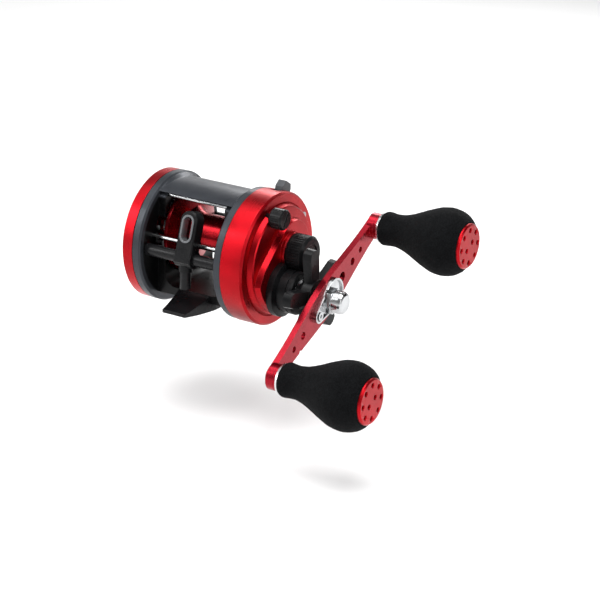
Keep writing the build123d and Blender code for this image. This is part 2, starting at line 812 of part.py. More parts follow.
def star_drag():
    arm_start = star_mid_x - 2.2
    with BuildPart() as star:
        turned(drive_at, [
            (55.3, drive_shaft_radius + running_gap), (55.3, 7.0), (arm_start, 8.6),
            (star_mid_x + 2.6, 8.2), (star_mid_x + 2.6, drive_shaft_radius + running_gap),
        ])
        for index in range(5):
            angle = 25 + 72 * index
            plane = Plane(
                origin=(arm_start, drive_y, drive_z),
                x_dir=(0, cos(radians(angle)), sin(radians(angle))),
                z_dir=(1, 0, 0),
            )
            with BuildSketch(plane):
                with BuildLine():
                    Polyline((5.0, -3.4), (star_radius - 4.0, -4.0), (star_radius - 1.2, -3.2))
                    ThreePointArc(
                        (star_radius - 1.2, -3.2), (star_radius, 0), (star_radius - 1.2, 3.2)
                    )
                    Polyline((star_radius - 1.2, 3.2), (star_radius - 4.0, 4.0), (5.0, 3.4), (5.0, -3.4))
                make_face()
            extrude(amount=4.4, taper=4)
    star.part.label = "star_drag"
    export_step(star.part, "parts/star_drag.step")


def arm_plane(x):
    """Plane across the reel at x, centred on the drive shaft, its x along the handle arm."""
    direction = (0, cos(radians(handle_angle)), sin(radians(handle_angle)))
    return Plane(origin=(x, drive_y, drive_z), x_dir=direction, z_dir=(1, 0, 0))


def handle_arm():
    half = handle_half_length
    with BuildPart() as arm:
        with BuildSketch(arm_plane(arm_face)):
            with BuildLine():
                Spline((-half, 4.4), (-25, 6.1), (0, 8.3), (25, 6.1), (half, 4.4))
                ThreePointArc((half, 4.4), (half + 4.4, 0), (half, -4.4))
                Spline((half, -4.4), (25, -6.1), (0, -8.3), (-25, -6.1), (-half, -4.4))
                ThreePointArc((-half, -4.4), (-half - 4.4, 0), (-half, 4.4))
            make_face()
            for distance, radius in ((15.2, 2.5), (25.6, 1.9), (33.7, 1.5)):
                with Locations((distance, 0)):
                    Circle(radius, mode=Mode.SUBTRACT)
            for distance, radius in ((-23.8, 1.9), (-32.6, 1.5)):
                with Locations((distance, 0)):
                    Circle(radius, mode=Mode.SUBTRACT)
            Circle(drive_shaft_radius, mode=Mode.SUBTRACT)
            with Locations((-29.0, -5.9)):
                Circle(1.0, mode=Mode.SUBTRACT)
        extrude(amount=arm_thickness)
        # round bosses that carry the knobs
        with BuildSketch(arm_plane(arm_face + 1.2)):
            with Locations((half, 0), (-half, 0)):
                Circle(end_boss_radius)
        extrude(amount=end_boss_top - 1.2)
        with BuildSketch(arm_plane(arm_face)):
            with Locations((half, 0), (-half, 0)):
                Circle(spindle_radius)
        extrude(amount=end_boss_top, mode=Mode.SUBTRACT)
    arm.part.label = "handle_arm"
    export_step(arm.part, "parts/handle_arm.step")


def handle_nut():
    start = arm_face + arm_thickness
    with BuildPart() as nut:
        with BuildSketch(frame_plane(start)):
            with Locations(drive_at):
                Circle(6.0)
                Circle(drive_shaft_radius, mode=Mode.SUBTRACT)
        extrude(amount=1.2)
        with BuildSketch(frame_plane(start + 1.2)):
            with Locations(drive_at):
                RegularPolygon(6.2, 6, rotation=10)
                Circle(drive_shaft_radius, mode=Mode.SUBTRACT)
        extrude(amount=3.2)
        turned(drive_at, [
            (start + 4.4, 0), (start + 4.4, 5.2), (start + 5.0, 5.5), (start + 8.2, 5.5),
            (start + 9.4, 4.9), (start + 10.0, 3.9), (start + 10.0, 0),
        ])
        bore(start + 4.0, arm_face + 7.2, drive_at, drive_shaft_radius)
    nut.part.label = "handle_nut"
    export_step(nut.part, "parts/handle_nut.step")


def nut_retainer():
    start = arm_face + arm_thickness
    with BuildPart() as plate:
        with BuildSketch(arm_plane(start)):
            with Locations((4.6, 0)):
                Circle(7.4)
            with Locations((-retainer_screw_distance, 0)):
                Circle(3.5)
            make_hull()
            Circle(6.0, mode=Mode.SUBTRACT)
            with Locations((-retainer_screw_distance, 0)):
                Circle(1.0, mode=Mode.SUBTRACT)
        extrude(amount=1.1)
        with BuildSketch(arm_plane(start + 1.1)):
            with Locations((4.6, 0)):
                Circle(7.4)
            with Locations((-retainer_screw_distance, 0)):
                Circle(3.5)
            make_hull()
            offset(amount=-0.9, mode=Mode.SUBTRACT)
            Circle(6.5, mode=Mode.SUBTRACT)
        extrude(amount=0.9)
    plate.part.label = "nut_retainer"
    export_step(plate.part, "parts/nut_retainer.step")


def retainer_screw():
    start = arm_face + arm_thickness
    with BuildPart() as screw:
        with BuildSketch(arm_plane(start)):
            with Locations((-retainer_screw_distance, 0)):
                Circle(1.0)
        extrude(amount=1.1)
        with BuildSketch(arm_plane(start + 1.1)):
            with Locations((-retainer_screw_distance, 0)):
                Circle(2.0)
        extrude(amount=1.4)
        with BuildSketch(arm_plane(start + 1.8)):
            with Locations((-retainer_screw_distance, 0)):
                RegularPolygon(0.9, 6)
        extrude(amount=0.7, mode=Mode.SUBTRACT)
    screw.part.label = "retainer_screw"
    export_step(screw.part, "parts/retainer_screw.step")


knob_places = {
    "upper": (drive_y + handle_half_y, drive_z + handle_half_z),
    "lower": (drive_y - handle_half_y, drive_z - handle_half_z),
}


def knob(name, at):
    """One knob: spindle and collar on the arm, core, grip and end cap turning on the spindle."""
    collar_start = arm_face + end_boss_top
    spindle_end = knob_bulge_x + 3.5
    with BuildPart() as spindle:
        rod(arm_face + 0.2, spindle_end, at, spindle_radius)
        rod(spindle_end, spindle_end + 1.2, at, spindle_radius + 1.2)
    spindle.part.label = "knob_spindle_" + name
    export_step(spindle.part, "parts/knob_spindle_" + name + ".step")
    with BuildPart() as collar:
        pipe(collar_start, knob_start - 1.3, at, 6.2, spindle_radius)
    collar.part.label = "knob_collar_" + name
    export_step(collar.part, "parts/knob_collar_" + name + ".step")
    with BuildPart() as core:
        turned(at, [
            (knob_start - 1.0, spindle_radius + running_gap), (knob_start - 1.0, 7.3),
            (knob_start, 7.5), (knob_start, core_radius), (core_end, core_radius),
            (core_end, spindle_radius + 1.6), (spindle_end - 0.4, spindle_radius + 1.6),
            (spindle_end - 0.4, spindle_radius + running_gap),
        ])
    core.part.label = "knob_core_" + name
    export_step(core.part, "parts/knob_core_" + name + ".step")
    with BuildPart() as grip:
        plane = Plane(origin=(0, at[0], at[1]), x_dir=(1, 0, 0), z_dir=(0, -1, 0))
        with BuildSketch(plane):
            with BuildLine():
                Line((knob_start, core_radius), (knob_start, 7.2))
                Spline(
                    (knob_start, 7.2), (knob_start + 1.4, 8.3), (knob_start + 6.5, 7.9),
                    (knob_start + 14.0, 9.6), (knob_start + 24.0, 14.0),
                    (knob_bulge_x, knob_bulge_radius), (knob_bulge_x + 6.5, 15.2),
                    (knob_end - 2.2, 12.6), (knob_end - 1.4, cap_outer),
                )
                Polyline(
                    (knob_end - 1.4, cap_outer), (core_end - 1.5, cap_outer),
                    (core_end - 1.5, core_radius), (knob_start, core_radius),
                )
            make_face()
        revolve(axis=Axis((0, at[0], at[1]), (1, 0, 0)))
    grip.part.label = "knob_grip_" + name
    export_step(grip.part, "parts/knob_grip_" + name + ".step")
    with BuildPart() as cap:
        turned(at, [
            (core_end, 0), (core_end, core_radius), (core_end - 1.5, core_radius),
            (core_end - 1.5, cap_outer), (knob_end - 0.8, cap_outer), (knob_end, 10.2),
            (knob_end, 0),
        ])
        with BuildSketch(frame_plane(knob_end - 1.2)):
            with Locations(at):
                with PolarLocations(8.0, 8):
                    Circle(0.85)
                with PolarLocations(3.0, 2, start_angle=30):
                    Circle(0.85)
        extrude(amount=1.2, mode=Mode.SUBTRACT)
    cap.part.label = "knob_cap_" + name
    export_step(cap.part, "parts/knob_cap_" + name + ".step")


# ================= line guide =================

def worm_tube():
    with BuildPart() as tube:
        pipe(-ring_inner_face - 0.9, ring_inner_face + 0.9, worm_at, tube_radius, 2.2)
        with BuildSketch(Plane.XY.offset(worm_z - 6)):
            with Locations((0, worm_y)):
                Rectangle(36.4, 1.6)
        extrude(amount=6, mode=Mode.SUBTRACT)
    tube.part.label = "worm_tube"
    export_step(tube.part, "parts/worm_tube.step")


def worm_shaft():
    with BuildPart() as worm:
        rod(-web_outer_face, 25.6, worm_at, 1.2)
        rod(-19.0, 19.0, worm_at, 1.5)
        rod(21.7, 25.2, worm_at, 1.6)
        for index in range(17):
            x = -16 + 2 * index
            pipe(x - 0.35, x + 0.35, worm_at, 1.85, 1.4)
    worm.part.label = "worm_shaft"
    export_step(worm.part, "parts/worm_shaft.step")


def worm_bushes():
    with BuildPart() as bushes:
        pipe(-web_outer_face, -ring_inner_face, worm_at, 2.2, 1.2 + running_gap)
        pipe(ring_inner_face, 21.6, worm_at, 2.2, 1.2 + running_gap)
    bushes.part.label = "worm_bushes"
    export_step(bushes.part, "parts/worm_bushes.step")


def guide_rod():
    with BuildPart() as bar:
        rod(-ring_inner_face - 0.9, ring_inner_face + 0.9, guide_rod_at, guide_rod_radius)
    bar.part.label = "guide_rod"
    export_step(bar.part, "parts/guide_rod.step")


guide_face_y = -30.2
guide_face_z = 27.5
lean_y = sin(radians(guide_lean))
lean_z = cos(radians(guide_lean))


def guide_point(up, back):
    """Point on the line guide's side: up along its leaning face, back from the face."""
    return (
        guide_face_y + up * lean_y + back * lean_z,
        guide_face_z + up * lean_z - back * lean_y,
    )


guide_height = 25.2
guide_depth = 6.6
eyelet_up = 16.6
eyelet_plane = Plane(
    origin=(guide_rest_x, *guide_point(eyelet_up, 0)),
    x_dir=(1, 0, 0),
    z_dir=(0, -lean_z, lean_y),
)


def guide_carriage():
    left = guide_rest_x - guide_half_width
    width = 2 * guide_half_width
    arch_up = guide_height - guide_half_width - eyelet_up
    with BuildPart() as body:
        with BuildSketch(eyelet_plane.offset(-0.6)) as outline:
            with Locations((0, (arch_up - eyelet_up) / 2)):
                Rectangle(width, arch_up + eyelet_up)
            with Locations((0, arch_up)):
                Circle(guide_half_width)
        extrude(amount=0.6, taper=40)
        extrude(outline.sketch, amount=-guide_depth + 0.6)
        rod(left, left + width, worm_at, tube_radius + 1.5)
        rod(left + 1.0, left + width - 1.0, guide_rod_at, guide_rod_radius + 1.2)
        bore(left, left + width, worm_at, tube_radius + running_gap)
        bore(left, left + width, guide_rod_at, guide_rod_radius + running_gap)
        # socket for the pawl below the tube
        with BuildSketch(Plane.XY.offset(worm_z - 6.5)):
            with Locations((guide_rest_x - 0.7, worm_y)):
                Circle(3.3)
        extrude(amount=4.0)
        bore(left, left + width, worm_at, tube_radius + running_gap)
        with BuildSketch(Plane.XY.offset(worm_z - 8)):
            with Locations((guide_rest_x - 0.7, worm_y)):
                Circle(1.6)
        extrude(amount=6.0, mode=Mode.SUBTRACT)
        # eyelet hole
        with BuildSketch(eyelet_plane):
            SlotOverall(eyelet_height + 2 * eyelet_rim, eyelet_width + 2 * eyelet_rim, rotation=90)
        extrude(amount=-eyelet_depth, mode=Mode.SUBTRACT)
        with BuildSketch(eyelet_plane):
            SlotOverall(eyelet_height, eyelet_width, rotation=90)
        extrude(amount=-guide_depth - 5, mode=Mode.SUBTRACT)
    body.part.label = "guide_carriage"
    export_step(body.part, "parts/guide_carriage.step")


def guide_eyelet():
    with BuildPart() as ring:
        with BuildSketch(eyelet_plane.offset(0.5)):
            SlotOverall(eyelet_height + 2 * eyelet_rim, eyelet_width + 2 * eyelet_rim, rotation=90)
            SlotOverall(eyelet_height, eyelet_width, rotation=90, mode=Mode.SUBTRACT)
        extrude(amount=-eyelet_depth - 0.5)
    ring.part.label = "guide_eyelet"
    export_step(ring.part, "parts/guide_eyelet.step")


def pawl():
    with BuildPart() as pin:
        with BuildSketch(Plane.XY.offset(worm_z - 6.5)):
            with Locations((guide_rest_x - 0.7, worm_y)):
                Circle(1.5)
        extrude(amount=2.6)
        with BuildSketch(Plane.XY.offset(worm_z - 3.9)):
            with Locations((guide_rest_x - 0.7, worm_y)):
                Circle(0.45)
        extrude(amount=1.5)
    pin.part.label = "pawl"
    export_step(pin.part, "parts/pawl.step")


def pawl_cap():
    with BuildPart() as cap:
        with BuildSketch(Plane.XY.offset(worm_z - 15.2)):
            with Locations((guide_rest_x - 0.7, worm_y)):
                Circle(2.7)
        extrude(amount=8.7)
        with BuildSketch(Plane.XY.offset(worm_z - 15.2)):
            with Locations((guide_rest_x - 0.7, worm_y)):
                SlotOverall(4.0, 0.8)
        extrude(amount=0.7, mode=Mode.SUBTRACT)
    cap.part.label = "pawl_cap"
    export_step(cap.part, "parts/pawl_cap.step")


frame()
foot()
foot_screws()
top_rod()
left_cover()
left_cover_screws()
brake_ring()
brake_dial()
left_bearing()
spool()
spool_flanges()
spool_shaft()
brake_rotor()
pinion()
right_bearings()
right_cover()
right_cover_screws()
thumb_lever()
side_knob()
cast_control_cap()
cast_control_washers()
boss_sleeve()
one_way_bearing()
drive_bearing()
drive_shaft()
drive_gear()
drag_washers()
drag_plates()
ratchet()
level_wind_gears()
drag_sleeve()
star_drag()
handle_arm()
handle_nut()
nut_retainer()
retainer_screw()
for knob_name, knob_at in knob_places.items():
    knob(knob_name, knob_at)
worm_tube()
worm_shaft()
worm_bushes()
guide_rod()
guide_carriage()
guide_eyelet()
pawl()
pawl_cap()
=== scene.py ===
"""Looks of the baitcasting reel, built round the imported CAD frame. Metres, +Z up."""
import json
import math

import bmesh
import bpy
from mathutils import Matrix, Vector, noise


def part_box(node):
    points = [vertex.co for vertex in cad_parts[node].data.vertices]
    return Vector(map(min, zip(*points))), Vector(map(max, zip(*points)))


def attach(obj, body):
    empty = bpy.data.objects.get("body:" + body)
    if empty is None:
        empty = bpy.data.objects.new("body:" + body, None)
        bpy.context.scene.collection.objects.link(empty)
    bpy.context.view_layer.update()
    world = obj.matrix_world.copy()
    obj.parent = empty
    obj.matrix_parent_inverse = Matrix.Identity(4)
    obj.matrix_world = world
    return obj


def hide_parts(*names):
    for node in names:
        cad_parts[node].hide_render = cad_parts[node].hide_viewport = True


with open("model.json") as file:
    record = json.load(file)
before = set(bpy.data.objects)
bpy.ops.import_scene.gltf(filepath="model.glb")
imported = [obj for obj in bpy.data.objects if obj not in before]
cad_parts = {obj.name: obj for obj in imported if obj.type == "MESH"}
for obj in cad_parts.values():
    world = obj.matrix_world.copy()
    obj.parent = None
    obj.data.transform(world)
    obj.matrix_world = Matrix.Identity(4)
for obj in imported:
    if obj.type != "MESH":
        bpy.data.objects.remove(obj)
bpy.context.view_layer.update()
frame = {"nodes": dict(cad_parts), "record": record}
nodes = frame["nodes"]
slot_of = {entry["node"]: entry["material_slot"] for entry in frame["record"]["subparts"]}

PLATE_AXIS = (0.0, 0.0285)  # (y, z) of the side plates' axis
SPOOL_AXIS = (0.0027, 0.0628)
DRIVE_AXIS = (-0.0056, 0.0166)
HANDLE_REACH = 0.0664  # from the drive axis to the far side of a knob
FLOOR_GAP = 0.002
# painted shade: inside this radius the recessed inner faces of the side plates are painted near-black
PAINTED_SHADE_RADIUS = 0.0289  # the side plates are black inside this radius


# ---------- materials ----------

class Nodes:
    """Small helper that adds and links shader nodes of one material."""

    def __init__(self, name):
        self.material = bpy.data.materials.new(name)
        self.material.use_nodes = True
        self.tree = self.material.node_tree
        self.tree.nodes.clear()
        self.place = self.add("ShaderNodeTexCoord").outputs["Object"]

    def add(self, kind, **values):
        node = self.tree.nodes.new(kind)
        for key, value in values.items():
            if hasattr(node, key):
                setattr(node, key, value)
            else:
                node.inputs[key.replace("_", " ")].default_value = value
        return node

    def link(self, output, socket):
        self.tree.links.new(output, socket)

    def noise(self, scale, detail=2.0, rough=0.5, vector=None):
        node = self.add("ShaderNodeTexNoise", Scale=scale, Detail=detail, Roughness=rough)
        self.link(vector or self.place, node.inputs["Vector"])
        return node.outputs["Fac"]

    def cells(self, scale):
        node = self.add("ShaderNodeTexVoronoi", feature="F1", Scale=scale)
        self.link(self.place, node.inputs["Vector"])
        return node.outputs["Distance"]

    def span(self, value, low, high, to_low=0.0, to_high=1.0):
        node = self.add("ShaderNodeMapRange")
        node.inputs["From Min"].default_value = low
        node.inputs["From Max"].default_value = high
        node.inputs["To Min"].default_value = to_low
        node.inputs["To Max"].default_value = to_high
        self.link(value, node.inputs["Value"])
        return node.outputs["Result"]

    def math(self, operation, first, second):
        node = self.add("ShaderNodeMath", operation=operation)
        for value, socket in ((first, node.inputs[0]), (second, node.inputs[1])):
            if isinstance(value, (int, float)):
                socket.default_value = value
            else:
                self.link(value, socket)
        return node.outputs[0]

    def mix(self, factor, first, second):
        node = self.add("ShaderNodeMix", data_type="RGBA")
        self.link(factor, node.inputs[0])
        for value, socket in ((first, node.inputs[6]), (second, node.inputs[7])):
            if isinstance(value, tuple):
                socket.default_value = (*value, 1.0)
            else:
                self.link(value, socket)
        return node.outputs[2]

    def edges(self, radius):
        """(rounded normal, mask that is 1 along sharp edges)"""
        bevel = self.add("ShaderNodeBevel", samples=4, Radius=radius)
        geometry = self.add("ShaderNodeNewGeometry")
        dot = self.add("ShaderNodeVectorMath", operation="DOT_PRODUCT")
        self.link(bevel.outputs["Normal"], dot.inputs[0])
        self.link(geometry.outputs["Normal"], dot.inputs[1])
        return bevel.outputs["Normal"], self.span(dot.outputs["Value"], 0.995, 0.86)

    def radius(self, centre=PLATE_AXIS):
        """(x, distance from an axis along X)"""
        split = self.add("ShaderNodeSeparateXYZ")
        self.link(self.place, split.inputs[0])
        y = self.math("SUBTRACT", split.outputs["Y"], centre[0])
        z = self.math("SUBTRACT", split.outputs["Z"], centre[1])
        squared = self.math("ADD", self.math("MULTIPLY", y, y), self.math("MULTIPLY", z, z))
        return split.outputs["X"], self.math("SQRT", squared, 0.0)

    def turned(self, scale, centre=PLATE_AXIS):
        """Fine rings round an axis along X: the trace of a lathe tool."""
        along, radius = self.radius(centre)
        join = self.add("ShaderNodeCombineXYZ")
        self.link(radius, join.inputs["X"])
        self.link(along, join.inputs["Y"])
        return self.noise(scale, 2.0, 0.6, join.outputs[0])

    def done(self, colour, roughness, height, strength, distance, normal, metallic, **sockets):
        shader = self.add("ShaderNodeBsdfPrincipled")
        bump = self.add("ShaderNodeBump", Strength=strength, Distance=distance)
        self.link(height, bump.inputs["Height"])
        if normal is not None:
            self.link(normal, bump.inputs["Normal"])
        self.link(bump.outputs["Normal"], shader.inputs["Normal"])
        self.link(colour, shader.inputs["Base Color"])
        self.link(roughness, shader.inputs["Roughness"])
        shader.inputs["Metallic"].default_value = metallic
        for key, value in sockets.items():
            shader.inputs[key.replace("_", " ")].default_value = value
        output = self.add("ShaderNodeOutputMaterial")
        self.link(shader.outputs["BSDF"], output.inputs["Surface"])
        return self.material


def anodised(name, base, deep, worn, rough, rings, centre=PLATE_AXIS, coat=0.04):
    """Dyed aluminium: a slow drift of the dye, lathe rings, and a paler bloom on the edges."""
    n = Nodes(name)
    normal, edge = n.edges(0.0003)
    drift = n.span(n.noise(45.0, 3.0), 0.35, 0.68)
    lathe = n.turned(rings, centre)
    grain = n.noise(5200.0, 2.0, 0.6)
    colour = n.mix(drift, base, deep)
    rub = n.math("MULTIPLY", edge, n.span(n.noise(420.0, 3.0), 0.35, 0.7, 0.1, 0.6))
    colour = n.mix(rub, colour, worn)
    height = n.math("ADD", n.math("MULTIPLY", lathe, 0.6), n.math("MULTIPLY", grain, 0.4))
    smudge = n.span(n.noise(110.0, 4.0, 0.6), 0.3, 0.7, rough - 0.05, rough + 0.07)
    roughness = n.math("ADD", smudge, n.span(lathe, 0.3, 0.7, -0.03, 0.04))
    return n.done(colour, roughness, height, 0.16, 0.00005, normal, 0.88,
                  Coat_Weight=coat, Coat_Roughness=0.22)


def bare_metal(name, base, dull, rough, scale, scratches=0.2):
    """Plated or bare metal with faint clouding and fine scratches."""
    n = Nodes(name)
    normal, edge = n.edges(0.0002)
    cloud = n.span(n.noise(160.0, 3.0), 0.35, 0.7)
    colour = n.mix(cloud, base, dull)
    stretch = n.add("ShaderNodeMapping")
    stretch.inputs["Scale"].default_value = (1.0, 9.0, 9.0)
    n.link(n.place, stretch.inputs["Vector"])
    lines = n.noise(scale, 3.0, 0.65, stretch.outputs["Vector"])
    roughness = n.span(lines, 0.3, 0.7, max(rough - 0.05, 0.04), rough + 0.08)
    roughness = n.math("SUBTRACT", roughness, n.math("MULTIPLY", edge, 0.03))
    return n.done(colour, roughness, lines, scratches, 0.00002, normal, 1.0)


def painted(name, base, other, worn, metallic, rough, flake, strength, coat=0.0, wear=0.35,
            shine=0.34, recess_shade=None):
    """Paint or moulded plastic: fine grain, slow tone changes and polished edges."""
    n = Nodes(name)
    normal, edge = n.edges(0.0003)
    tone = n.span(n.noise(70.0, 3.0), 0.32, 0.7)
    speck = n.span(n.cells(flake), 0.0, 0.6)
    colour = n.mix(tone, base, other)
    colour = n.mix(n.math("MULTIPLY", speck, 0.25), colour, other)
    rub = n.math("MULTIPLY", edge, n.span(n.noise(380.0, 3.0), 0.35, 0.7, 0.0, wear))
    colour = n.mix(rub, colour, worn)
    if recess_shade:
        # painted shade: the recessed inner faces of the side plates are painted near-black inside this radius
        colour = n.mix(n.span(n.radius()[1], PAINTED_SHADE_RADIUS, PAINTED_SHADE_RADIUS - 0.0003), colour, recess_shade)
    grain = n.noise(flake * 0.8, 3.0, 0.6)
    roughness = n.span(n.noise(130.0, 4.0, 0.6), 0.3, 0.7, rough - 0.06, rough + 0.08)
    roughness = n.math("ADD", roughness, n.span(grain, 0.35, 0.65, -0.03, 0.03))
    return n.done(colour, roughness, grain, strength, 0.00004, normal, metallic,
                  Coat_Weight=coat, Coat_Roughness=0.12,
                  Specular_IOR_Level=shine)


def eva_foam(name):
    """Closed-cell grip foam: packed grains of many sizes, with a painted highlight on the grain tops and
    painted shade in the pits.
    """
    n = Nodes(name)
    grains = n.cells(2300.0)
    fine = n.noise(5200.0, 3.0, 0.7)
    patch = n.span(n.noise(170.0, 3.0, 0.6), 0.3, 0.7)
    body = n.mix(patch, (0.0014, 0.0015, 0.0018), (0.0032, 0.0034, 0.0038))
    # painted highlight: the raised grain tops get a paler colour, so the pits between them stay dark as
    # painted shade
    lit_grain_tops = n.math("MULTIPLY", n.span(grains, 0.62, 0.05), n.span(fine, 0.4, 0.72))
    colour = n.mix(lit_grain_tops, body, (0.024, 0.026, 0.029))
    height = n.math("SUBTRACT", n.math("MULTIPLY", fine, 0.5), grains)
    roughness = n.span(fine, 0.3, 0.7, 0.84, 0.98)
    return n.done(colour, roughness, height, 0.75, 0.00022, None, 0.0,
                  Specular_IOR_Level=0.07, Sheen_Weight=0.015, Sheen_Roughness=0.5)


RED = (0.47, 0.0008, 0.0070)
RED_DEEP = (0.31, 0.0005, 0.0045)
RED_WORN = (0.74, 0.07, 0.085)
materials = {
    "red_metal": anodised("red_anodised", RED, RED_DEEP, RED_WORN, 0.30, 2600.0),
    "red_spool": anodised("spool_anodised", (0.34, 0.002, 0.008), (0.22, 0.002, 0.006), RED_WORN,
                          0.26, 3200.0, centre=SPOOL_AXIS),
    "gunmetal": painted("gunmetal_paint", (0.029, 0.032, 0.039), (0.040, 0.044, 0.052),
                        (0.13, 0.14, 0.155), 0.50, 0.34, 5200.0, 0.22, coat=0.05, shine=0.25,
                        # near-black painted shade for the recessed inner faces of the side plates
                        recess_shade=(0.0030, 0.0031, 0.0035)),
    "black_metal": painted("black_coated_metal", (0.0050, 0.0050, 0.0056), (0.0085, 0.0085, 0.0095),
                           (0.06, 0.06, 0.064), 0.1, 0.27, 4800.0, 0.2,
                           coat=0.05, shine=0.16),
    "black_plastic": painted("black_moulded", (0.0042, 0.0043, 0.0048), (0.0075, 0.0077, 0.0084),
                             (0.035, 0.036, 0.039), 0.0, 0.30, 3600.0, 0.28, shine=0.13),
    "gloss_black": painted("black_polished", (0.004, 0.004, 0.0045), (0.007, 0.007, 0.0076),
                           (0.045, 0.045, 0.048), 0.0, 0.20, 4200.0, 0.1, coat=0.06, shine=0.16),
    "grey_lever": painted("grey_moulded", (0.036, 0.039, 0.044), (0.052, 0.056, 0.062),
                          (0.20, 0.21, 0.22), 0.1, 0.34, 3600.0, 0.25),
    "ring_grey": painted("eyelet_ceramic", (0.105, 0.110, 0.118), (0.145, 0.150, 0.158),
                         (0.42, 0.42, 0.43), 0.15, 0.22, 5200.0, 0.08, coat=0.4),
    "fibre": painted("drag_fibre", (0.050, 0.044, 0.036), (0.085, 0.074, 0.060),
                     (0.12, 0.10, 0.08), 0.0, 0.75, 2600.0, 0.6),
    "steel": bare_metal("steel_satin", (0.42, 0.42, 0.43), (0.32, 0.32, 0.33), 0.26, 900.0),
    "chrome": bare_metal("chrome_plate", (0.62, 0.63, 0.64), (0.48, 0.49, 0.50), 0.16, 700.0, 0.08),
    "brass": bare_metal("brass_cut", (0.70, 0.48, 0.20), (0.55, 0.36, 0.14), 0.28, 900.0),
    "aluminium": bare_metal("aluminium_bare", (0.74, 0.745, 0.75), (0.60, 0.605, 0.61), 0.24, 900.0),
    "foam": eva_foam("eva_foam_black"),
}
arm_red = anodised("arm_anodised", (0.36, 0.003, 0.016), (0.27, 0.002, 0.011), RED_WORN, 0.24,
                   3000.0, centre=DRIVE_AXIS, coat=0.12)
own_finish = {"handle_arm": arm_red, "knob_collar_upper": arm_red, "knob_collar_lower": arm_red}

for node, cad in nodes.items():
    chosen = own_finish.get(node) or materials[slot_of[node]]
    cad.data.materials.clear()
    cad.data.materials.append(chosen)


# ---------- foam grips ----------

def foam_grip(name, body, node):
    """A turned foam grip: dense rings with a rolled front edge, small dents and a grainy skin."""
    low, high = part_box(node)
    axis_y = (low[1] + high[1]) / 2
    axis_z = (low[2] + high[2]) / 2
    start = low[0]
    length = high[0] - low[0]
    half = (high[2] - low[2]) / 2
    # radius as a share of the widest, against the share of the length
    shape = [
        (0.000, 0.270), (0.000, 0.400), (0.004, 0.446), (0.014, 0.484), (0.032, 0.505), (0.060, 0.502),
        (0.105, 0.488), (0.150, 0.482), (0.200, 0.492), (0.260, 0.527), (0.320, 0.580), (0.380, 0.645),
        (0.440, 0.718), (0.500, 0.792), (0.560, 0.862), (0.620, 0.925), (0.680, 0.971), (0.740, 0.994),
        (0.780, 0.996), (0.820, 0.985), (0.860, 0.962), (0.895, 0.928), (0.930, 0.878), (0.958, 0.822),
        (0.978, 0.768), (0.992, 0.715), (0.998, 0.682), (0.990, 0.668),
    ]
    curve = []
    for index in range(len(shape) - 1):
        before = shape[max(index - 1, 0)]
        here = shape[index]
        there = shape[index + 1]
        after = shape[min(index + 2, len(shape) - 1)]
        steps = 5
        for step in range(steps):
            t = step / steps
            point = []
            for axis in (0, 1):
                a, b, c, d = before[axis], here[axis], there[axis], after[axis]
                point.append(0.5 * (2 * b + (c - a) * t + (2 * a - 5 * b + 4 * c - d) * t * t
                                    + (3 * b - a - 3 * c + d) * t ** 3))
            curve.append(point)
    curve.append(list(shape[-1]))
    mesh = bpy.data.meshes.new(name)
    grip = bpy.data.objects.new(name, mesh)
    bpy.context.scene.collection.objects.link(grip)
    build = bmesh.new()
    sides = 160
    loops = []
    for share, wide in curve:
        x = start + min(max(share, 0.0), 1.0) * length
        loop = []
        for side in range(sides):
            angle = 2 * math.pi * side / sides
            outward = Vector((0.0, math.cos(angle), math.sin(angle)))
            place = Vector((x, axis_y, axis_z)) + outward * (wide * half)
            dents = noise.fractal(place * 420.0, 1.0, 2.0, 3)
            skin = noise.noise(place * 1500.0)
            depth = 0.00010 + 0.00009 * min(max(dents, -1.0), 1.0) + 0.00006 * skin
            place -= outward * max(depth, 0.0)
            place.x = min(max(place.x, low[0]), high[0])
            loop.append(build.verts.new(place))
        loops.append(loop)
    for first, second in zip(loops, loops[1:]):
        for side in range(sides):
            after = (side + 1) % sides
            build.faces.new((first[side], first[after], second[after], second[side]))
    bmesh.ops.recalc_face_normals(build, faces=build.faces)
    for face in build.faces:
        face.smooth = True
    build.to_mesh(mesh)
    build.free()
    mesh.materials.append(materials["foam"])
    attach(grip, body)
    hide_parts(node)
    return grip


foam_grip("foam_grip_upper", "knob_upper", "knob_grip_upper")
foam_grip("foam_grip_lower", "knob_lower", "knob_grip_lower")


# ---------- knob caps ----------

PLUG_SIDES = 32


def hole_cutter(y, z, face, radius, depth):
    """A closed tapered plug along X: a straight hole with a small countersink at the cap's face."""
    mesh = bpy.data.meshes.new("hole_cutter")
    build = bmesh.new()
    loops = []
    for x, wide in ((face - depth, radius), (face - 0.00030, radius), (face + 0.0006, radius + 0.0009)):
        loop = []
        for step in range(PLUG_SIDES):
            angle = 2 * math.pi * step / PLUG_SIDES
            loop.append(build.verts.new((x, y + wide * math.cos(angle), z + wide * math.sin(angle))))
        loops.append(loop)
    for first, second in zip(loops, loops[1:]):
        for step in range(PLUG_SIDES):
            after = (step + 1) % PLUG_SIDES
            build.faces.new((first[step], first[after], second[after], second[step]))
    build.faces.new(loops[0])
    build.faces.new(loops[-1])
    bmesh.ops.recalc_face_normals(build, faces=build.faces)
    build.to_mesh(mesh)
    build.free()
    cutter = bpy.data.objects.new("hole_cutter", mesh)
    bpy.context.scene.collection.objects.link(cutter)
    return cutter


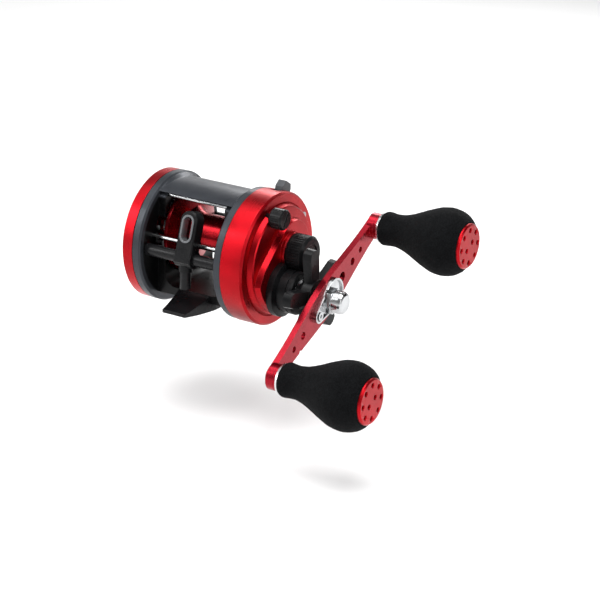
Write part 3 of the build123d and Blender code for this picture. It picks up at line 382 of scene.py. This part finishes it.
def drilled_cap(name, body, node):
    """The knob's end cap with its ring of countersunk holes opened up."""
    low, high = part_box(node)
    centre_y = (low[1] + high[1]) / 2
    centre_z = (low[2] + high[2]) / 2
    cap = bpy.data.objects.new(name, nodes[node].data.copy())
    bpy.context.scene.collection.objects.link(cap)
    cutters = []
    places = [(0.0080, 45.0 * step) for step in range(8)] + [(0.0030, 30.0), (0.0030, 210.0)]
    for ring, degrees in places:
        angle = math.radians(degrees)
        y = centre_y + ring * math.cos(angle)
        z = centre_z + ring * math.sin(angle)
        cutter = hole_cutter(y, z, high[0], 0.00112, 0.0013)
        drill = cap.modifiers.new("drill", "BOOLEAN")
        drill.operation = "DIFFERENCE"
        drill.solver = "EXACT"
        drill.object = cutter
        cutters.append(cutter)
    bpy.context.view_layer.update()
    drilled = bpy.data.meshes.new_from_object(cap.evaluated_get(bpy.context.evaluated_depsgraph_get()))
    cap.modifiers.clear()
    cap.data = drilled
    for cutter in cutters:
        bpy.data.objects.remove(cutter)
    for face in drilled.polygons:
        face.use_smooth = True
    drilled.set_sharp_from_angle(angle=math.radians(25))
    drilled.materials.clear()
    drilled.materials.append(materials["red_metal"])
    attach(cap, body)
    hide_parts(node)
    return cap


drilled_cap("drilled_cap_upper", "knob_upper", "knob_cap_upper")
drilled_cap("drilled_cap_lower", "knob_lower", "knob_cap_lower")


# ---------- floor, light and camera ----------

def floor_material():
    n = Nodes("floor_paper")
    tone = n.span(n.noise(6.0, 3.0), 0.3, 0.7)
    colour = n.mix(tone, (0.85, 0.85, 0.85), (0.87, 0.87, 0.87))
    grain = n.noise(900.0, 2.0)
    roughness = n.span(grain, 0.3, 0.7, 0.85, 0.95)
    return n.done(colour, roughness, grain, 0.05, 0.0001, None, 0.0, Specular_IOR_Level=0.1)


def add_floor():
    """A pale floor low enough for a knob to pass over it when the handle turns."""
    level = DRIVE_AXIS[1] - HANDLE_REACH - FLOOR_GAP
    mesh = bpy.data.meshes.new("floor")
    build = bmesh.new()
    corners = [build.verts.new((x, y, level)) for x, y in ((-4, -4), (4, -4), (4, 4), (-4, 4))]
    build.faces.new(corners)
    build.to_mesh(mesh)
    build.free()
    mesh.materials.append(floor_material())
    floor = bpy.data.objects.new("floor", mesh)
    bpy.context.scene.collection.objects.link(floor)


def softbox(name, place, target, width, height, power):
    data = bpy.data.lights.new(name, "AREA")
    data.shape = "RECTANGLE"
    data.size = width
    data.size_y = height
    data.energy = power
    lamp = bpy.data.objects.new(name, data)
    bpy.context.scene.collection.objects.link(lamp)
    lamp.location = place
    aim = Vector(target) - Vector(place)
    lamp.rotation_euler = aim.to_track_quat("-Z", "Y").to_euler()


def add_lights():
    """Four soft boxes and one broad soft sun that evens out the floor."""
    softbox("light_top", (0.05, -0.10, 0.75), (0.02, 0.0, 0.02), 0.7, 0.45, 5.0)
    softbox("light_left", (-0.55, -0.55, 0.35), (0.0, 0.0, 0.02), 0.22, 0.6, 3.2)
    softbox("light_right", (0.75, -0.15, 0.30), (0.03, 0.0, 0.02), 0.3, 0.5, 1.7)
    softbox("light_back", (-0.15, 0.75, 0.45), (0.02, 0.0, 0.03), 0.6, 0.3, 4.0)
    data = bpy.data.lights.new("light_broad", "SUN")
    data.energy = 1.3
    data.angle = 1.3
    lamp = bpy.data.objects.new("light_broad", data)
    bpy.context.scene.collection.objects.link(lamp)
    lamp.rotation_euler = (0.25, -0.2, 0.0)


def add_world():
    """A studio that is pale near the horizon and dim overhead."""
    world = bpy.data.worlds.new("studio")
    bpy.context.scene.world = world
    world.use_nodes = True
    tree = world.node_tree
    tree.nodes.clear()
    direction = tree.nodes.new("ShaderNodeTexCoord")
    split = tree.nodes.new("ShaderNodeSeparateXYZ")
    glow = tree.nodes.new("ShaderNodeMapRange")
    glow.inputs["From Min"].default_value = 0.09
    glow.inputs["From Max"].default_value = 0.30
    glow.inputs["To Min"].default_value = 0.62
    glow.inputs["To Max"].default_value = 0.20
    background = tree.nodes.new("ShaderNodeBackground")
    background.inputs["Color"].default_value = (1.0, 1.0, 1.0, 1.0)
    output = tree.nodes.new("ShaderNodeOutputWorld")
    tree.links.new(direction.outputs["Generated"], split.inputs[0])
    tree.links.new(split.outputs["Z"], glow.inputs["Value"])
    tree.links.new(glow.outputs["Result"], background.inputs["Strength"])
    tree.links.new(background.outputs[0], output.inputs["Surface"])


def add_camera():
    data = bpy.data.cameras.new("camera")
    data.sensor_width = 36.0
    data.lens = 136.0545
    data.clip_start = 0.01
    camera = bpy.data.objects.new("camera", data)
    bpy.context.scene.collection.objects.link(camera)
    camera.matrix_world = Matrix((
        (0.851234, -0.206992, 0.482240, 0.566686),
        (0.524024, 0.285752, -0.802337, -0.860116),
        (0.028276, 0.935682, 0.351711, 0.387661),
        (0.0, 0.0, 0.0, 1.0),
    ))
    bpy.context.scene.camera = camera


add_floor()
add_lights()
add_world()
add_camera()
bpy.context.scene.view_settings.view_transform = "Standard"

bpy.context.view_layer.update()
